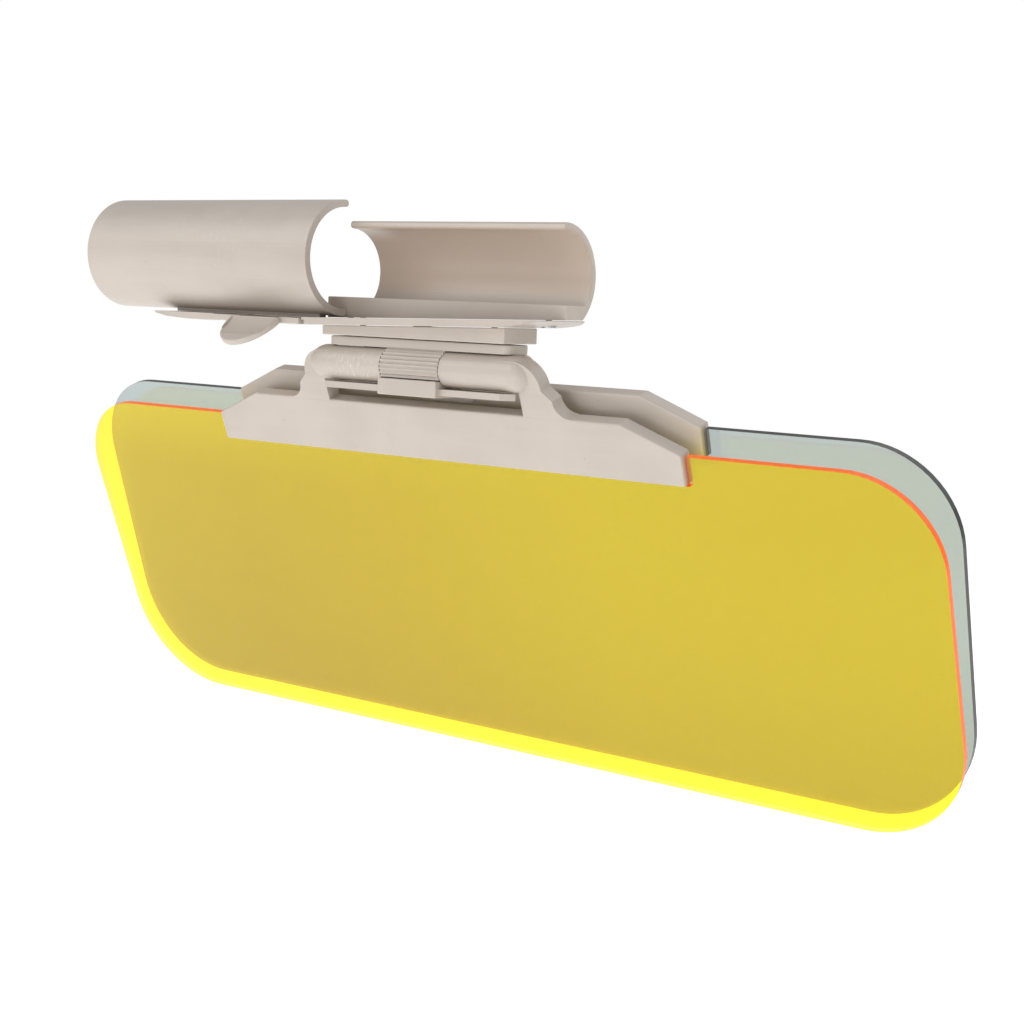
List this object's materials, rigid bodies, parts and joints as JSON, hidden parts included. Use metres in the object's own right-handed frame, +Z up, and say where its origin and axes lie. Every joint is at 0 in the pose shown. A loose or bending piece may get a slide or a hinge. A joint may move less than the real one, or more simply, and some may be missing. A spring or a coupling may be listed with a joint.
{
  "type": "clip-on sun visor extender",
  "caption": "Clip-on car visor extender: a sliding two-jaw clip over a swivel that carries a yellow and a gray lens on separate hinges.",
  "frame": {"origin": "middle of the flat seat on top of the rear jaw block, on the plane of the lens centres, where the edge of the car's own sun visor rests", "axes": "+X along the lenses to the right as the driver sees them, +Y away from the driver, +Z up; the seat itself leans 1.5 degrees, its right-hand end up"},
  "size_m": [0.3212, 0.0701, 0.1709],
  "materials": {
    "base_plate": "satin moulded",
    "front_bracket": "satin moulded",
    "front_hinge_pin": "zinc plated",
    "front_jaw_shell": "satin moulded",
    "front_keeper_bar": "satin moulded",
    "front_keeper_screw_left": "zinc plated",
    "front_keeper_screw_right": "zinc plated",
    "gray_lens": "polished transparent acrylic",
    "gray_lens_peg_left": "satin",
    "gray_lens_peg_middle": "satin",
    "gray_lens_peg_right": "satin",
    "jaw_slider": "satin moulded",
    "rear_bracket": "satin moulded",
    "rear_hinge_pin": "zinc plated",
    "rear_jaw": "satin moulded",
    "rear_jaw_screw_left": "zinc plated",
    "rear_jaw_screw_right": "zinc plated",
    "rear_keeper": "satin moulded",
    "rear_keeper_screw_left": "zinc plated",
    "rear_keeper_screw_right": "zinc plated",
    "release_tab": "satin moulded",
    "slider_screw_left": "zinc plated",
    "slider_screw_right": "zinc plated",
    "socket_screw_left": "zinc plated",
    "socket_screw_right": "zinc plated",
    "swivel_plate": "satin moulded",
    "swivel_screw": "zinc plated",
    "swivel_socket": "satin moulded",
    "swivel_washer": "zinc plated",
    "tab_pin": "zinc plated",
    "yellow_lens": "polished transparent acrylic",
    "yellow_lens_peg_left": "satin",
    "yellow_lens_peg_middle": "satin",
    "yellow_lens_peg_right": "satin"
  },
  "bodies": {
    "clip_base": {"base_plate": "base_plate", "rear_jaw": "rear_jaw", "swivel_socket": "swivel_socket", "rear_jaw_screw_left": "rear_jaw_screw_left", "rear_jaw_screw_right": "rear_jaw_screw_right", "socket_screw_left": "socket_screw_left", "socket_screw_right": "socket_screw_right"},
    "front_jaw": {"front_jaw_shell": "front_jaw_shell", "jaw_slider": "jaw_slider", "slider_screw_left": "slider_screw_left", "slider_screw_right": "slider_screw_right", "tab_pin": "tab_pin"},
    "release_lever": {"release_tab": "release_tab"},
    "swivel": {"swivel_plate": "swivel_plate", "front_keeper_bar": "front_keeper_bar", "rear_keeper": "rear_keeper", "front_keeper_screw_left": "front_keeper_screw_left", "front_keeper_screw_right": "front_keeper_screw_right", "rear_keeper_screw_left": "rear_keeper_screw_left", "rear_keeper_screw_right": "rear_keeper_screw_right", "front_hinge_pin": "front_hinge_pin", "rear_hinge_pin": "rear_hinge_pin", "swivel_screw": "swivel_screw", "swivel_washer": "swivel_washer"},
    "front_visor": {"front_bracket": "front_bracket", "yellow_lens": "yellow_lens", "yellow_lens_peg_left": "yellow_lens_peg_left", "yellow_lens_peg_middle": "yellow_lens_peg_middle", "yellow_lens_peg_right": "yellow_lens_peg_right"},
    "rear_visor": {"rear_bracket": "rear_bracket", "gray_lens": "gray_lens", "gray_lens_peg_left": "gray_lens_peg_left", "gray_lens_peg_middle": "gray_lens_peg_middle", "gray_lens_peg_right": "gray_lens_peg_right"}
  },
  "joints": [
    {"name": "front_jaw_slide", "type": "slide", "parent": "clip_base", "child": "front_jaw", "axis": [0, -1, 0], "range_m": [0, 0.02]},
    {"name": "release_tab_press", "type": "hinge", "parent": "front_jaw", "child": "release_lever", "pos_m": [-0.057, -0.0125, -0.0078], "axis": [-1, 0, 0], "range_deg": [0, 6], "stiffness_Nm_per_rad": 0.3},
    {"name": "swivel_turn", "type": "hinge", "parent": "clip_base", "child": "swivel", "pos_m": [0, -0.0056, -0.0127], "axis": [0, 0, 1], "range_deg": [-180, 180]},
    {"name": "front_visor_hinge", "type": "hinge", "parent": "swivel", "child": "front_visor", "pos_m": [0, -0.0085, -0.0197], "axis": [-1, 0, 0], "range_deg": [0, 100]},
    {"name": "rear_visor_hinge", "type": "hinge", "parent": "swivel", "child": "rear_visor", "pos_m": [0, 0.0025, -0.0197], "axis": [1, 0, 0], "range_deg": [0, 68]}
  ]
}
